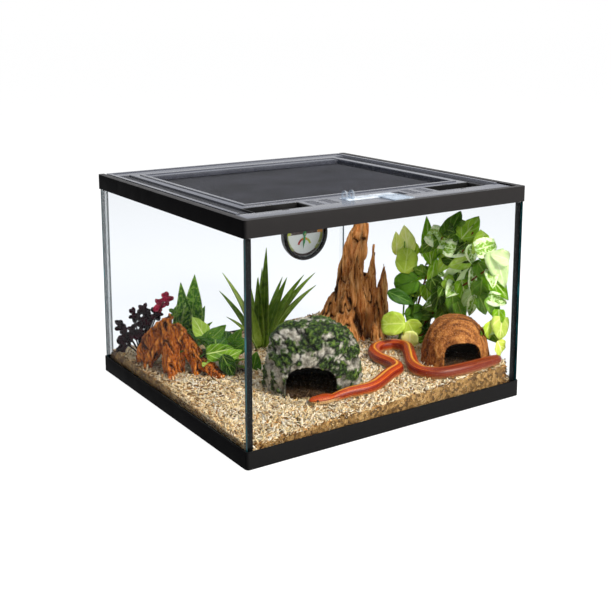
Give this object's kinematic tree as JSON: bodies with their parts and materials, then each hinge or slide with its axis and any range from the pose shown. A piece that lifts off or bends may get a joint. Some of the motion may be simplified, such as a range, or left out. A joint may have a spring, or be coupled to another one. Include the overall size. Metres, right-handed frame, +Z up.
{
  "type": "reptile terrarium",
  "caption": "Furnished glass reptile terrarium with a sliding screen lid, a latch, lift-out trays, a dial gauge, hides, wood, plants and a corn snake.",
  "frame": {"origin": "middle of the tank's underside, on the table", "axes": "+Z up, -Y out of the front, the side with the latch and the trays; +X to the right as seen from the front"},
  "size_m": [0.46, 0.44, 0.3206],
  "materials": {
    "frame_plastic": "satin moulded black plastic",
    "lid_plastic": "satin moulded charcoal plastic",
    "pane_glass": "clear float glass, green at the edge",
    "silicone": "black silicone",
    "screen_cloth": "woven dark grey screen",
    "screen_ring": "satin black plastic",
    "tray_plastic": "gloss black plastic",
    "latch_clear": "clear plastic",
    "gauge_black": "fine textured black plastic",
    "gauge_window": "clear plastic window",
    "dial_plate": "printed pale plate",
    "spindle_brass": "turned",
    "coil_metal": "rolled strip",
    "coil_grey": "rolled strip",
    "hand_green": "gloss green",
    "pad_foam": "foam with adhesive",
    "bedding": "loose wood shavings",
    "rock_resin": "cast resin painted as mossy stone",
    "bark_resin": "rough bark",
    "driftwood": "weathered split wood",
    "root_wood": "weathered orange root",
    "blade_leaf": "satin leaf",
    "vine_leaf": "satin leaf",
    "round_leaf": "satin leaf",
    "broad_leaf": "satin leaf",
    "burgundy_leaf": "satin leaf",
    "variegated_leaf": "satin leaf",
    "snake_skin": "smooth scales"
  },
  "bodies": {
    "tank": {"bottom_frame": "frame_plastic", "bottom_pane": "pane_glass", "front_pane": "pane_glass", "back_pane": "pane_glass", "left_pane": "pane_glass", "right_pane": "pane_glass", "corner_seals": "silicone", "floor_seals": "silicone", "top_frame": "frame_plastic", "gauge_pad": "pad_foam", "gauge_case": "gauge_black", "gauge_dial": "dial_plate", "gauge_bezel": "gauge_black", "gauge_lens": "gauge_window", "gauge_spindle": "spindle_brass", "temperature_coil": "coil_metal", "humidity_coil": "coil_grey", "substrate": "bedding", "rock_hide": "rock_resin", "bark_hide": "bark_resin", "tall_driftwood": "driftwood", "root_driftwood": "root_wood", "spiky_plant": "blade_leaf", "leafy_vine": "vine_leaf", "round_leaf_plant": "round_leaf", "broad_leaf_plant": "broad_leaf", "burgundy_plant": "burgundy_leaf", "variegated_plant": "variegated_leaf", "corn_snake": "snake_skin"},
    "lid": {"lid_frame": "lid_plastic", "mesh_screen": "screen_cloth", "screen_retainer": "screen_ring"},
    "latch": {"latch_slide": "latch_clear"},
    "left_tray": {"left_port_tray": "tray_plastic"},
    "right_tray": {"right_port_tray": "tray_plastic"},
    "temperature_pointer": {"temperature_hand": "hand_green"},
    "humidity_pointer": {"humidity_hand": "hand_green"}
  },
  "joints": [
    {"name": "lid_slide", "type": "slide", "parent": "tank", "child": "lid", "axis": [0, 1, 0], "range_m": [0, 0.38]},
    {"name": "latch_slide", "type": "slide", "parent": "lid", "child": "latch", "axis": [1, 0, 0], "range_m": [0, 0.009]},
    {"name": "left_tray_lift", "type": "slide", "parent": "lid", "child": "left_tray", "axis": [0, 0, 1], "range_m": [0, 0.035]},
    {"name": "right_tray_lift", "type": "slide", "parent": "lid", "child": "right_tray", "axis": [0, 0, 1], "range_m": [0, 0.035]},
    {"name": "temperature_turn", "type": "hinge", "parent": "tank", "child": "temperature_pointer", "pos_m": [0.136, 0.2035, 0.177], "axis": [0, 1, 0], "range_deg": [-120, 120]},
    {"name": "humidity_turn", "type": "hinge", "parent": "tank", "child": "humidity_pointer", "pos_m": [0.136, 0.202, 0.177], "axis": [0, 1, 0], "range_deg": [-60, 60]}
  ]
}
